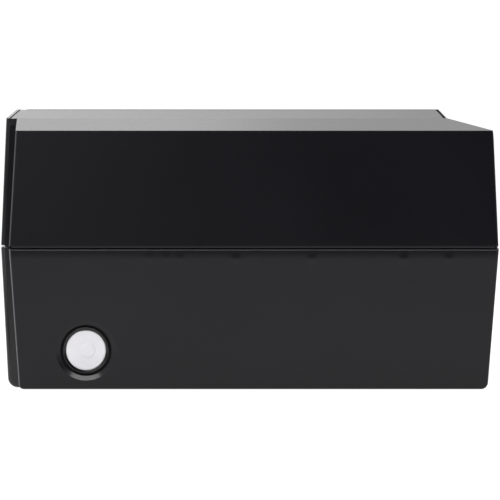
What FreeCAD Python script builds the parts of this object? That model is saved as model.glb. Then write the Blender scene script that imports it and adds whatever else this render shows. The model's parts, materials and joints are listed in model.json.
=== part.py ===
import FreeCAD, Part
import math
import os
import re

import Sketcher

# Clamshell receipt printer. Millimetres, +Z up, front towards -X, power button on the -Y side.
# The origin is on the surface that the printer stands on, under the middle of its outline.

# Driving sizes: name, value
SIZES = [
    # Outline of the case
    ("half_length", 99.7),
    ("half_width", 72.5),
    ("cheek_width", 12.0),
    ("nose", 3.6),
    ("core_tail", 2.7),
    ("foot_height", 0.6),
    ("foot_radius", 4.5),
    ("foot_inset", 14.0),
    ("foot_side_inset", 5.5),
    ("split_height", 57.4),
    ("split_gap", 0.9),
    ("top_height", 108.8),
    ("shoulder_drop", 4.7),
    ("top_back_inset", 20.5),
    ("core_front_rake_low", 2.9),
    ("core_back_rake_low", 3.4),
    ("core_front_rake_high", 2.2),
    ("cheek_front_rake_low", 3.9),
    ("cheek_back_rake_low", 4.4),
    ("cheek_front_rake_high", 2.7),
    ("cheek_back_rake_high", 2.05),
    ("left_nape_step", 4.4),
    ("draft_low", 2.2),
    ("draft_high", 2.0),
    ("wall", 2.4),
    ("cheek_wall", 2.6),
    ("floor_thickness", 2.6),
    ("edge_round", 0.8),
    ("brow_round", 0.3),
    ("toe_round", 2.0),
    ("heel_round", 2.8),
    ("chin_round", 4.0),
    ("core_round", 1.6),
    # Lip of the lower half that closes the parting gap from inside
    ("lip_gap", 0.4),
    ("lip_thickness", 1.2),
    ("lip_height", 2.4),
    ("lip_root", 0.9),
    ("lip_inset", 3.4),
    ("lip_tail", 10.0),
    # Top panel let into the cover
    ("panel_lip", 1.2),
    ("panel_seat", 2.6),
    ("panel_gap", 0.6),
    ("panel_rear_lip", 0.4),
    ("panel_rear_gap", 0.9),
    ("panel_end_lip", 1.0),
    ("panel_side_gap", 0.15),
    ("panel_crown", 0.1),
    ("panel_drop", 0.03),
    # Hinge at the back
    ("hinge_inset", 2.4),
    ("hinge_rise", 5.5),
    ("hinge_pin_radius", 1.5),
    ("hinge_play", 0.05),
    ("knuckle_radius", 2.3),
    ("knuckle_width", 3.9),
    ("lug_width", 5.6),
    ("lug_gap", 0.4),
    ("lug_root", 7.0),
    # Paper roll and its well
    ("roll_setback", 124.7),
    ("well_radius", 41.5),
    ("well_side_gap", 3.0),
    ("well_wall", 2.0),
    ("well_flange", 2.0),
    ("well_drop", 1.0),
    # Paper mouth at the front
    ("mouth_side_gap", 2.5),
    ("mouth_height", 6.0),
    # Print mechanism
    ("platen_setback", 23.7),
    ("platen_radius", 6.0),
    ("platen_end_gap", 5.0),
    ("platen_shaft_radius", 3.0),
    ("platen_shaft_end", 1.0),
    ("shaft_play", 0.05),
    ("bush_wall", 2.0),
    ("paper_gap", 0.3),
    ("head_rise", 2.4),
    ("head_thickness", 2.2),
    ("head_length", 20.0),
    ("sink_height", 7.2),
    ("fin_gap", 2.0),
    ("fin_depth", 4.0),
    ("fin_inner", 4.6),
    ("fin_outer", 8.0),
    ("spring_height", 6.0),
    ("spring_radius", 3.0),
    ("spring_wire", 0.8),
    ("spring_offset", 25.0),
    ("frame_side_room", 13.1),
    ("frame_sheet", 1.2),
    ("frame_front", 9.7),
    ("frame_length", 40.0),
    ("frame_top", 3.4),
    ("bracket_sheet", 2.0),
    ("bracket_inset", 0.5),
    ("ear_length", 12.0),
    ("guide_plate", 1.5),
    ("guide_gap", 0.5),
    ("guide_overlap", 14.0),
    # Gear train
    ("gear_module", 0.8),
    ("platen_teeth", 20),
    ("idler_teeth", 45),
    ("pinion_teeth", 12),
    ("gear_width", 5.0),
    ("gear_offset", 1.3),
    ("pinion_offset", 14.0),
    ("idler_shaft_radius", 2.0),
    ("motor_shaft_radius", 1.5),
    ("motor_shaft_hole", 2.5),
    ("motor_radius", 12.5),
    ("motor_length", 25.0),
    # Cutter
    ("blade_sheet", 0.8),
    ("blade_setback", 7.1),
    ("blade_side_gap", 1.0),
    ("blade_height", 19.4),
    ("blade_drop", 0.4),
    ("blade_gap", 0.5),
    ("fixed_blade_rise", 4.05),
    ("fixed_blade_height", 13.5),
    ("slideway_play", 0.2),
    ("slideway_wrap", 1.6),
    ("slideway_height", 20.0),
    # Cover release
    ("release_setback", 33.7),
    ("release_height", 82.0),
    ("release_shaft_radius", 2.5),
    ("release_shaft_play", 0.08),
    ("release_end_gap", 0.2),
    ("knob_radius", 12.0),
    ("knob_gap", 0.4),
    ("knob_thickness", 2.5),
    ("knob_recess", 0.2),
    ("grip_half_length", 10.0),
    ("grip_half_height", 2.0),
    ("grip_rise", 2.7),
    ("hook_width", 2.0),
    ("hook_offset", 2.1),
    ("hook_half_thickness", 1.8),
    ("hook_reach", 32.0),
    ("hook_nose", 2.0),
    ("hook_nose_height", 1.7),
    ("strike_radius", 1.5),
    ("strike_ahead", 5.8),
    ("strike_drop", 3.0),
    ("strike_length", 4.6),
    # Power button on the right-hand cheek
    ("power_setback", 34.3),
    ("power_height", 16.2),
    ("power_radius", 8.0),
    ("power_well_radius", 10.2),
    ("power_bevel", 1.9),
    ("power_bevel_depth", 1.2),
    ("power_sink", 0.3),
    ("power_length", 7.7),
    ("power_edge", 0.8),
    ("power_play", 0.2),
    ("ring_width", 1.2),
    ("ring_sink", 0.3),
    ("ring_length", 2.6),
    ("ring_edge", 0.35),
    ("guide_wall", 2.2),
    ("guide_depth", 4.2),
    ("guide_floor", 1.7),
    ("stem_radius", 3.0),
    ("stem_play", 0.6),
    ("stem_reach", 0.5),
    ("switch_gap", 1.8),
    ("switch_depth", 5.0),
    ("switch_side", 6.0),
    ("switch_board", 1.6),
    ("switch_board_side", 16.0),
    # Controls on the front
    ("feed_frame_gap", 10.0),
    ("feed_height", 27.5),
    ("feed_half_width", 7.0),
    ("feed_half_height", 3.5),
    ("feed_proud", 0.6),
    ("feed_length", 6.0),
    ("feed_play", 0.3),
    ("feed_gap", 1.4),
    ("light_radius", 1.6),
    ("light_feed_gap", 15.0),
    ("light_pitch", 8.0),
    ("light_length", 5.0),
    ("panel_board", 1.6),
    ("panel_board_half_height", 8.0),
    ("panel_board_width", 55.0),
    # Main board and sockets
    ("board_thickness", 1.6),
    ("board_stand", 2.8),
    ("board_side_gap", 8.1),
    ("board_length", 134.0),
    ("board_tail", 9.7),
    ("post_radius", 2.5),
    ("post_inset", 6.0),
    ("socket_wall", 1.2),
    ("socket_depth", 11.0),
    ("socket_gap", 0.3),
    ("socket_end_gap", 14.0),
    ("socket_clear", 0.4),
    ("power_socket_width", 9.6),
    ("power_socket_height", 9.0),
    ("usb_socket_width", 8.6),
    ("usb_socket_height", 7.8),
    ("lan_socket_width", 11.8),
    ("lan_socket_height", 8.2),
    ("drawer_socket_width", 9.8),
    ("drawer_socket_height", 6.8),
    # Plate under the case
    ("plate_sheet", 0.8),
    ("plate_inset", 20.0),
    ("plate_side_inset", 5.5),
    ("screw_radius", 1.25),
    ("screw_head_radius", 2.6),
    ("screw_head", 0.45),
    ("screw_play", 0.1),
    ("screw_inset", 5.0),
]

doc = FreeCAD.newDocument("receipt_printer")
sheet = doc.addObject("Spreadsheet::Sheet", "sizes")
for rowNumber, (alias, number) in enumerate(SIZES, start=1):
    sheet.set("A%d" % rowNumber, alias)
    sheet.set("B%d" % rowNumber, str(number))
    sheet.setAlias("B%d" % rowNumber, alias)
doc.recompute()

# Places that several pieces share, each a formula on the driving sizes
PLACES = {
    "core_half": "half_width - cheek_width",
    "core_inside": "half_width - cheek_width - wall",
    "core_back": "half_length - core_tail",
    "base_top": "split_height - split_gap / 2",
    "cover_bottom": "split_height + split_gap / 2",
    "floor_top": "foot_height + floor_thickness",
    "panel_front": "core_front_rake_high + panel_lip + panel_gap - half_length",
    "panel_back": "top_back - panel_rear_lip - panel_rear_gap",
    "ceiling": "top_height - panel_seat - wall",
    "shoulder_height": "top_height - shoulder_drop",
    "top_back": "half_length - top_back_inset",
    "cheek_front": "nose - half_length",
    "hinge_x": "half_length - hinge_inset",
    "hinge_z": "split_height + split_gap / 2 + hinge_rise",
    "roll_x": "roll_setback - half_length",
    "roll_z": "split_height - split_gap / 2 - well_drop",
    "platen_x": "platen_setback - half_length",
    "head_top": "split_height + head_rise",
    "platen_z": "split_height + head_rise + paper_gap + platen_radius",
    "sink_bottom": "split_height + head_rise - head_thickness - sink_height",
    "spring_bottom": "split_height + head_rise - head_thickness - sink_height - spring_height",
    "frame_x": "frame_front - half_length",
    "frame_half_width": "core_inside - frame_side_room",
    "frame_outside": "core_inside - frame_side_room + frame_sheet",
    "platen_half_width": "frame_half_width - platen_end_gap",
    "well_half_width": "frame_half_width - well_side_gap",
    "mouth_half_width": "frame_half_width - mouth_side_gap",
    "blade_half_width": "frame_half_width - blade_side_gap",
    "board_half_width": "core_inside - board_side_gap",
    "socket_pitch": "(board_half_width - socket_end_gap) / 1.5",
    "feed_side": "frame_half_width - feed_frame_gap",
    "light_side": "feed_side - light_feed_gap",
    "gear_near": "frame_half_width + frame_sheet + gear_offset",
    "idler_z": "split_height + head_rise + paper_gap + platen_radius"
               " - gear_module * (platen_teeth + idler_teeth) / 2",
    "pinion_x": "platen_setback - half_length + pinion_offset",
    "blade_x": "blade_setback - half_length",
    "release_x": "release_setback - half_length",
    "power_x": "power_setback - half_length",
    "board_bottom": "foot_height + floor_thickness + board_stand",
    "board_top": "foot_height + floor_thickness + board_stand + board_thickness",
    "board_back": "half_length - board_tail",
    "socket_face": "half_length - core_tail - core_back_rake_low - wall - socket_gap",
    "button_face": "half_width - draft_low * (split_height - split_gap / 2 - power_height)"
                   " / (split_height - split_gap / 2 - foot_height)",
    "front_face": "core_front_rake_low * (split_height - split_gap / 2 - feed_height)"
                  " / (split_height - split_gap / 2 - foot_height) - half_length",
    "cheek_inside_low": "half_width - draft_low - cheek_wall",
    "cheek_inside_high": "half_width - draft_high - cheek_wall",
}
ALIASES = {alias for alias, number in SIZES}
WORD = re.compile(r"[a-z][a-z_]+")


def formula(text):
    """The text with each shared place written out and each size bound to its cell."""
    text = str(text)

    def swap(match):
        word = match.group(0)
        if word in PLACES:
            return "(" + formula(PLACES[word]) + ")"
        return "sizes." + word if word in ALIASES else word

    return WORD.sub(swap, text)


# A hidden cell column works the shared places out, for the few shapes that code has to make
for rowNumber, place in enumerate(PLACES, start=1):
    sheet.set("D%d" % rowNumber, place)
    sheet.set("E%d" % rowNumber, "=" + formula(PLACES[place]).replace("sizes.", ""))
    sheet.setAlias("E%d" % rowNumber, place)
doc.recompute()


def size(name):
    return float(sheet.get(name))


def bind(item, **formulas):
    for name, text in formulas.items():
        item.setExpression(name, formula(text))


def put(item, x, y, z):
    for letter, text in zip("xyz", (x, y, z)):
        item.setExpression("Placement.Base." + letter, formula(text))


def box(name, x, y, z):
    """A block between the low and high formulas of each axis."""
    item = doc.addObject("Part::Box", name)
    for prop, (low, high) in zip(("Length", "Width", "Height"), (x, y, z)):
        item.setExpression(prop, formula("(%s) - (%s)" % (high, low)))
    put(item, x[0], y[0], z[0])
    return item


TURNS = {
    "x": FreeCAD.Rotation(FreeCAD.Vector(0, 1, 0), 90),
    "y": FreeCAD.Rotation(FreeCAD.Vector(1, 0, 0), -90),
    "z": FreeCAD.Rotation(),
}


def rod(name, along, start, radius, length):
    """A cylinder from the start point in the positive direction of one axis."""
    item = doc.addObject("Part::Cylinder", name)
    item.Placement = FreeCAD.Placement(FreeCAD.Vector(), TURNS[along])
    bind(item, Radius=radius, Height=length)
    put(item, *start)
    return item


def fuse(name, *items):
    item = doc.addObject("Part::MultiFuse", name)
    item.Shapes = list(items)
    return item


def group(name, *items):
    """Separate solids of one kind in one node."""
    item = doc.addObject("Part::Compound", name)
    item.Links = list(items)
    return item


def cut(name, base, *tools):
    item = doc.addObject("Part::Cut", name)
    item.Base = base
    item.Tool = tools[0] if len(tools) == 1 else fuse(name + "_tools", *tools)
    return item


def mirror(name, source):
    """The same piece on the other side of the printer."""
    item = doc.addObject("Part::Mirroring", name)
    item.Source = source
    item.Normal = FreeCAD.Vector(0, 1, 0)
    return item


def tube(name, along, start, outer, inner, length):
    return cut(name, rod(name + "_outside", along, start, outer, length),
               rod(name + "_bore", along, start, inner, length))


def sketch(body, role, name, offset):
    plane = [item for item in body.Origin.OriginFeatures if item.Role == role][0]
    item = body.newObject("Sketcher::SketchObject", name)
    item.AttachmentSupport = [(plane, "")]
    item.MapMode = "FlatFace"
    item.setExpression("AttachmentOffset.Base.z", formula(offset))
    return item


START_RADIUS = 40.0


def outline(item, corners):
    """A closed outline in a sketch, each corner bound to its two formulas."""
    count = len(corners)
    start = []
    for index in range(count):
        angle = 2 * math.pi * (index + 0.3) / count
        start.append(FreeCAD.Vector(START_RADIUS * math.cos(angle), START_RADIUS * math.sin(angle), 0))
    for index in range(count):
        item.addGeometry(Part.LineSegment(start[index], start[(index + 1) % count]))
    for index in range(count):
        item.addConstraint(Sketcher.Constraint("Coincident", index, 2, (index + 1) % count, 1))
    for index, corner in enumerate(corners):
        for kind, text, value in zip(("DistanceX", "DistanceY"), corner, start[index]):
            number = item.addConstraint(Sketcher.Constraint(kind, -1, 1, index, 1, value))
            item.setExpression("Constraints[%d]" % number, formula(text))
    doc.recompute()


def edges_where(shape, test):
    """Names of the straight edges whose two ends pass the test."""
    names = []
    for index, edge in enumerate(shape.Edges, start=1):
        ends = [vertex.Point for vertex in edge.Vertexes]
        if len(ends) == 2 and test(*ends):
            names.append("Edge%d" % index)
    return names


def round_edges(body, name, radius, test):
    before = body.Tip
    item = body.newObject("PartDesign::Fillet", name)
    item.Base = (before, edges_where(before.Shape, test))
    item.setExpression("Radius", formula(radius))
    body.Tip = item
    doc.recompute()


def core_body(name, outside):
    """One half of the middle of the case, as a solid block: a side profile padded across."""
    body = doc.addObject("PartDesign::Body", name)
    profile = sketch(body, "XZ_Plane", name + "_profile", "-(core_half)")
    outline(profile, outside)
    pad = body.newObject("PartDesign::Pad", name + "_pad")
    pad.Profile = profile
    bind(pad, Length="2 * core_half")
    doc.recompute()
    return body


def hollow(body, name, inside):
    """Take the room inside the walls out of a block, from its open side."""
    room = sketch(body, "XZ_Plane", name + "_room", "core_inside")
    outline(room, inside)
    pocket = body.newObject("PartDesign::Pocket", name + "_pocket")
    pocket.Profile = room
    bind(pocket, Length="2 * core_inside")
    doc.recompute()


NEAR = 0.01
ROUND_FLATS = 3


def at(value, goal):
    return abs(value - goal) < NEAR


# Lower half of the case
def make_base_case():
    body = core_body("base_core", [
        ("-half_length", "base_top"),
        ("core_front_rake_low - half_length", "foot_height"),
        ("core_back - core_back_rake_low", "foot_height"),
        ("core_back", "base_top"),
    ])
    foot, front = size("foot_height"), size("core_front_rake_low") - size("half_length")
    round_edges(body, "base_chin", "chin_round",
                lambda a, b: at(a.z, foot) and at(b.z, foot) and at(a.x, front) and at(b.x, front))
    round_edges(body, "base_corners", "core_round",
                lambda a, b: a.x < front + 1 and b.x < front + 1 and at(a.y, b.y) and not at(a.z, b.z)
                and abs(a.z - b.z) > size("split_height") / 2)
    hollow(body, "base", [
        ("wall - half_length", "base_top + 1"),
        ("core_front_rake_low + wall - half_length", "floor_top"),
        ("core_back - core_back_rake_low - wall", "floor_top"),
        ("core_back - wall", "base_top + 1"),
    ])
    added = []
    for side, low in (("right", "-(core_inside - knuckle_width + wall - lug_gap)"),
                      ("left", "core_inside - knuckle_width + wall - lug_gap - lug_width")):
        span = (low, "%s + lug_width" % low)
        added.append(rod("lug_eye_" + side, "y", ("hinge_x", low, "hinge_z"), "knuckle_radius", "lug_width"))
        added.append(box("lug_stem_" + side, ("hinge_x - knuckle_radius", "hinge_x + knuckle_radius"),
                         span, ("base_top - lug_root", "hinge_z")))
    length = ("lip_inset - half_length", "core_back - lip_tail")
    for side, low, high, foot_low, foot_high in (
            ("right", "lip_gap - core_inside", "lip_gap + lip_thickness - core_inside",
             "-core_inside - wall / 2", "lip_gap + lip_thickness - core_inside"),
            ("left", "core_inside - lip_gap - lip_thickness", "core_inside - lip_gap",
             "core_inside - lip_gap - lip_thickness", "core_inside + wall / 2")):
        added.append(box("lip_" + side, length, (low, high), ("base_top - lip_root", "base_top + lip_height")))
        added.append(box("lip_foot_" + side, length, (foot_low, foot_high), ("base_top - lip_root", "base_top")))
    for x in ("board_back - post_inset", "board_back - board_length + post_inset"):
        for y in ("post_inset - board_half_width", "board_half_width - post_inset"):
            added.append(rod("board_post", "z", (x, y, "floor_top"), "post_radius", "board_stand"))
    solid = fuse("base_with_lugs", body, *added)
    taken = [
        rod("lug_bore", "y", ("hinge_x", "-core_half", "hinge_z"), "hinge_pin_radius", "2 * core_half"),
        rod("stem_hole", "y", ("power_x", "-core_half - 1", "power_height"), "stem_radius + stem_play",
            "wall + 2"),
        box("feed_hole", ("-half_length - 1", "wall + core_front_rake_low - half_length + 1"),
            ("-feed_side - feed_half_width - feed_play", "-feed_side + feed_half_width + feed_play"),
            ("feed_height - feed_half_height - feed_play", "feed_height + feed_half_height + feed_play")),
        box("plate_recess", ("plate_inset - half_length", "half_length - plate_inset"),
            ("plate_side_inset - core_half", "core_half - plate_side_inset"),
            ("foot_height - 1", "foot_height + plate_sheet")),
    ]
    for index in range(LIGHT_COUNT):
        taken.append(rod("light_hole", "x", ("-half_length - 1", light_side(index), "feed_height"),
                         "light_radius", "light_length + 3"))
    for name, place in SOCKETS:
        low, high = socket_span(name, place)
        taken.append(box("hole_" + name, ("socket_face - 1", "half_length"),
                         (low + " - socket_clear", high + " + socket_clear"),
                         ("board_top + socket_wall - socket_clear",
                          "board_top + socket_wall + %s_height + socket_clear" % name)))
    for x, y in screw_places():
        taken.append(rod("screw_hole", "z", (x, y, "foot_height"), "screw_radius + screw_play",
                         "floor_thickness + 1"))
    return cut("base_case", solid, *taken)


LIGHT_COUNT = 3


def light_side(index):
    return "%d * light_pitch - light_side" % index


# Name and place along the back, in pitches
SOCKETS = [("power_socket", 1.5), ("usb_socket", 0.5), ("lan_socket", -0.5), ("drawer_socket", -1.5)]


def socket_span(name, place):
    middle = "%s * socket_pitch" % place
    return "%s - %s_width / 2" % (middle, name), "%s + %s_width / 2" % (middle, name)


def make_sockets():
    for name, place in SOCKETS:
        low, high = socket_span(name, place)
        shell = box(name + "_shell", ("socket_face - socket_depth - socket_wall", "socket_face"),
                    (low + " - socket_wall", high + " + socket_wall"),
                    ("board_top", "board_top + %s_height + 2 * socket_wall" % name))
        mouth = box(name + "_mouth", ("socket_face - socket_depth", "socket_face + 1"), (low, high),
                    ("board_top + socket_wall", "board_top + socket_wall + %s_height" % name))
        yield cut(name, shell, mouth)


def screw_places():
    for x in ("plate_inset + screw_inset - half_length", "half_length - plate_inset - screw_inset"):
        for y in ("plate_side_inset + screw_inset - core_half", "core_half - plate_side_inset - screw_inset"):
            yield x, y


# Faceted cheeks on both sides of the case
def faceted(name, corners, faces):
    shells = []
    for face in faces:
        points = [corners[key] for key in face]
        shells.append(Part.Face(Part.makePolygon(points + points[:1])))
    solid = Part.Solid(Part.Shell(shells))
    if solid.Volume < 0:
        solid.reverse()
    return solid


def outer_edges(solid):
    """Edges round the largest face that looks to the right-hand side."""
    sides = [face for face in solid.Faces if face.normalAt(0, 0).y < -0.9 or face.normalAt(0, 0).y > 0.9]
    outer = min(sides, key=lambda face: face.CenterOfMass.y)
    return outer.OuterWire.Edges


def edge_between(solid, first, second):
    for edge in solid.Edges:
        ends = [vertex.Point for vertex in edge.Vertexes]
        if len(ends) == 2 and {True} == {any(end.isEqual(p, NEAR) for end in ends) for p in (first, second)}:
            return edge
    return None


def rounded(solid, radius_at):
    """Rounds the edges of the outer face, each with flats that touch its round."""
    faces = solid.Faces
    outer = min(faces, key=lambda face: face.CenterOfMass.y)
    facing = outer.normalAt(0, 0)
    reach = solid.BoundBox.DiagonalLength
    for edge in outer.OuterWire.Edges:
        ends = [vertex.Point for vertex in edge.Vertexes]
        beside = [face for face in faces if not face.isSame(outer)
                  and any(other.isSame(edge) for other in face.Edges)][0].normalAt(0, 0)
        radius, turn = radius_at(*ends), facing.getAngle(beside)
        axis = (ends[0] + ends[1]) / 2 - (facing + beside) * (radius / (1 + math.cos(turn)))
        for step in range(1, ROUND_FLATS + 1):
            swing = FreeCAD.Rotation(facing.cross(beside), math.degrees(turn) * step / (ROUND_FLATS + 1))
            away = swing.multVec(facing)
            waste = Part.makeBox(reach, reach, reach, FreeCAD.Vector(-reach / 2, -reach / 2, 0))
            waste.Placement = FreeCAD.Placement(
                axis + away * radius, FreeCAD.Rotation(FreeCAD.Vector(0, 0, 1), away)).multiply(waste.Placement)
            solid = solid.cut(waste)
    return solid.Solids[0]


def make_base_cheek():
    V = FreeCAD.Vector
    front, back = size("cheek_front"), size("half_length")
    low, high = size("foot_height"), size("base_top")
    outside, inside = -size("half_width"), -size("core_half")
    toe = front + size("cheek_front_rake_low")
    heel = back - size("cheek_back_rake_low")
    sole = outside + size("draft_low")
    corners = {
        "a": V(toe, sole, low), "b": V(heel, sole, low), "c": V(heel, inside, low), "d": V(toe, inside, low),
        "e": V(front, outside, high), "f": V(back, outside, high),
        "g": V(back, inside, high), "h": V(front, inside, high),
    }
    solid = faceted("cheek", corners, ("abfe", "bcgf", "cdhg", "daeh", "adcb", "efgh"))
    solid = solid.makeFillet(size("toe_round"), [edge_between(solid, corners["a"], corners["d"])])
    solid = solid.makeFillet(size("heel_round"), [edge_between(solid, corners["b"], corners["c"])])
    solid = solid.makeFillet(size("edge_round"), outer_edges(solid))
    item = doc.addObject("Part::Feature", "base_cheek_outside")
    item.Shape = solid
    return cut("base_cheek_blank", item, box("base_cheek_room", (
        "cheek_front + cheek_front_rake_low + cheek_wall",
        "half_length - cheek_back_rake_low - cheek_wall"), ("-(cheek_inside_low)", "-core_half + 1"),
        ("foot_height + cheek_wall", "base_top - cheek_wall")))


def make_cover_cheek(name, nape):
    V = FreeCAD.Vector
    front, back = size("cheek_front"), size("half_length")
    low, high, top = size("cover_bottom"), size("shoulder_height"), size("top_height")
    outside, inside = -size("half_width"), -size("core_half")
    brow = front + size("cheek_front_rake_high")
    crest = front + size("cheek_front_rake_high") * (top - low) / (high - low)
    upper = outside + size("draft_high")
    corners = {
        "a": V(front, outside, low), "b": V(back, outside, low),
        "c": V(size("core_back"), inside, low), "d": V(front, inside, low),
        "e": V(brow, upper, high), "f": V(nape, upper, high),
        "g": V(crest, inside, top), "h": V(size("top_back"), inside, top),
    }
    solid = faceted("cheek", corners, ("abfe", "efhg", "aegd", "bcf", "chf", "dghc", "adcb"))
    solid = rounded(solid, lambda one, two: size(
        "brow_round" if min(one.z, two.z) > (low + high) / 2 else "edge_round"))
    item = doc.addObject("Part::Feature", name + "_outside")
    item.Shape = solid
    return cut(name, item, box(name + "_room", (
        "cheek_front + cheek_front_rake_high + cheek_wall", "top_back - cheek_wall"),
        ("-(cheek_inside_high)", "-core_half + 1"),
        ("cover_bottom + cheek_wall", "shoulder_height - cheek_wall")))


def make_cheeks():
    low = make_base_cheek()
    bevel = doc.addObject("Part::Cone", "power_bevel_tool")
    slope = math.atan2(size("draft_low"), size("base_top") - size("foot_height"))
    square = FreeCAD.Rotation(FreeCAD.Vector(1, 0, 0), math.degrees(slope) - 90)
    bevel.Placement = FreeCAD.Placement(FreeCAD.Vector(), square)
    bind(bevel, Radius1="power_well_radius + 2 * power_bevel", Radius2="power_well_radius",
         Height="2 * power_bevel_depth")
    put(bevel, "power_x", "-(button_face) - power_bevel_depth * %.9f" % math.cos(slope),
        "power_height - power_bevel_depth * %.9f" % math.sin(slope))
    well = rod("power_well", "y", ("power_x", "-half_width - 1", "power_height"), "power_well_radius",
               "cheek_width")
    right_low = cut("base_cheek_right", low, bevel, well)
    left_low = mirror("base_cheek_left", low)
    # The left-hand cheek leans with the cover's back, so that it stays out of sight behind the right-hand one
    right_high = make_cover_cheek("cover_cheek_right", size("half_length") - size("cheek_back_rake_high"))
    left_blank = make_cover_cheek("cover_cheek_leaning", size("top_back") + size("left_nape_step"))
    knob_hole = rod("knob_hole", "y", ("release_x", "core_half + cheek_wall", "release_height"),
                    "knob_radius + knob_gap", "cheek_width")
    left_high = cut("cover_cheek_left", mirror("cover_cheek_left_blank", left_blank), knob_hole)
    return [right_low, left_low, right_high, left_high]


# Upper half of the case
def make_cover_shell():
    body = core_body("cover_core", [
        ("-half_length", "cover_bottom"),
        ("core_front_rake_high - half_length", "top_height"),
        ("top_back", "top_height"),
        ("core_back", "cover_bottom"),
    ])
    front = size("core_front_rake_high") - size("half_length")
    round_edges(body, "cover_corners", "core_round",
                lambda a, b: a.x < front + 1 and b.x < front + 1 and at(a.y, b.y)
                and abs(a.z - b.z) > size("split_height") / 2)
    hollow(body, "cover", [
        ("wall - half_length", "cover_bottom - 1"),
        ("core_front_rake_high + wall - half_length", "ceiling"),
        ("top_back - wall", "ceiling"),
        ("core_back - wall", "cover_bottom - 1"),
    ])
    lug_low = "core_inside - knuckle_width + wall - 2 * lug_gap - lug_width"
    opened = [
        box("panel_recess", ("panel_front - panel_side_gap", "panel_back + panel_side_gap"),
            ("-core_half - 1", "core_half + 1"), ("top_height - panel_seat", "top_height + 1")),
        box("panel_front_groove", ("panel_front - panel_gap", "panel_front"),
            ("panel_end_lip - core_half", "core_half - panel_end_lip"),
            ("top_height - panel_seat", "top_height + 1")),
        box("panel_rear_groove", ("panel_back", "panel_back + panel_rear_gap"),
            ("panel_end_lip - core_half", "core_half - panel_end_lip"),
            ("top_height - panel_seat", "top_height + 1")),
        box("paper_mouth", ("-half_length - 1", "wall + core_front_rake_high - half_length + 1"),
            ("-mouth_half_width", "mouth_half_width"), ("cover_bottom - 1", "cover_bottom + mouth_height")),
    ]
    for side, low in (("right", "-(%s) - lug_width - 2 * lug_gap" % lug_low), ("left", lug_low)):
        opened.append(box("lug_room_" + side, ("hinge_x - 3 * knuckle_radius", "half_length"),
                          (low, "%s + lug_width + 2 * lug_gap" % low),
                          ("cover_bottom - 1", "hinge_z + knuckle_radius + lug_gap")))
    shell = cut("cover_opened", body, *opened)
    added = []
    for side, low in (("right", "-core_half"), ("left", "core_half - knuckle_width")):
        added.append(rod("knuckle_" + side, "y", ("hinge_x", low, "hinge_z"), "knuckle_radius",
                         "knuckle_width"))
        added.append(box("knuckle_root_" + side, ("hinge_x - 3 * knuckle_radius", "hinge_x"),
                         (low, "%s + knuckle_width" % low),
                         ("hinge_z - knuckle_radius", "hinge_z + knuckle_radius")))
    bores = [
        rod("knuckle_bore", "y", ("hinge_x", "-core_half - 1", "hinge_z"), "hinge_pin_radius + hinge_play",
            "2 * core_half + 2"),
        rod("release_bore", "y", ("release_x", "-core_half - 1", "release_height"),
            "release_shaft_radius + release_shaft_play", "2 * core_half + 2"),
    ]
    return cut("cover_shell", fuse("cover_with_knuckles", shell, *added), *bores)


def make_top_panel():
    slab = box("panel_slab", ("panel_front", "panel_back"),
               ("panel_side_gap - core_half", "core_half - panel_side_gap"),
               ("top_height - panel_seat", "top_height"))
    radius = "(core_half^2 / (2 * panel_crown))"
    crown = rod("panel_crown_round", "x", ("-half_length", "0", "top_height - panel_drop - %s" % radius),
                radius, "2 * half_length")
    item = doc.addObject("Part::Common", "top_panel")
    item.Base = slab
    item.Tool = crown
    return item


def make_hinge_pins():
    low = "core_inside - knuckle_width + wall - lug_gap - lug_width"
    pin = rod("hinge_pin_left", "y", ("hinge_x", low, "hinge_z"), "hinge_pin_radius",
              "lug_width + lug_gap + knuckle_width - lug_gap / 2")
    return group("hinge_pins", pin, mirror("hinge_pin_right", pin))


# Paper well
def make_roll_bin():
    span = "2 * (well_half_width + well_wall)"
    outside = rod("bin_outside", "y", ("roll_x", "-well_half_width - well_wall", "roll_z"),
                  "well_radius + well_wall", span)
    room = rod("bin_room", "y", ("roll_x", "-well_half_width", "roll_z"), "well_radius",
               "2 * well_half_width")
    upper = box("bin_upper", ("roll_x - 2 * well_radius", "roll_x + 2 * well_radius"),
                ("-half_width", "half_width"), ("roll_z", "roll_z + 2 * well_radius"))
    trough = cut("bin_trough", outside, room, upper)
    flanges = []
    for side, low, high in (("right", "-core_inside", "-well_half_width - well_wall / 2"),
                            ("left", "well_half_width + well_wall / 2", "core_inside")):
        flanges.append(box("bin_flange_" + side, ("roll_x - well_radius", "roll_x + well_radius"), (low, high),
                           ("roll_z - well_flange", "roll_z")))
    return fuse("roll_bin", trough, *flanges)


# Print mechanism
def make_mech_frame():
    length = ("frame_x", "frame_x + frame_length")
    cross = box("frame_cross", length, ("-(frame_outside)", "frame_outside"),
                ("spring_bottom - frame_sheet", "spring_bottom"))
    sides = []
    for name, low, high in (("right", "-(frame_outside)", "-frame_half_width"),
                            ("left", "frame_half_width", "frame_outside")):
        sides.append(box("frame_side_" + name, length, (low, high), ("floor_top", "base_top + frame_top")))
    hole = rod("motor_hole", "y", ("pinion_x", "frame_half_width - 1", pinion_height()), "motor_shaft_hole",
               "frame_sheet + 2")
    return cut("mech_frame", fuse("frame_bent", cross, *sides), hole)


def pinion_height():
    reach = "gear_module * (idler_teeth + pinion_teeth) / 2"
    return "idler_z - sqrt((%s)^2 - pinion_offset^2)" % reach


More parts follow.
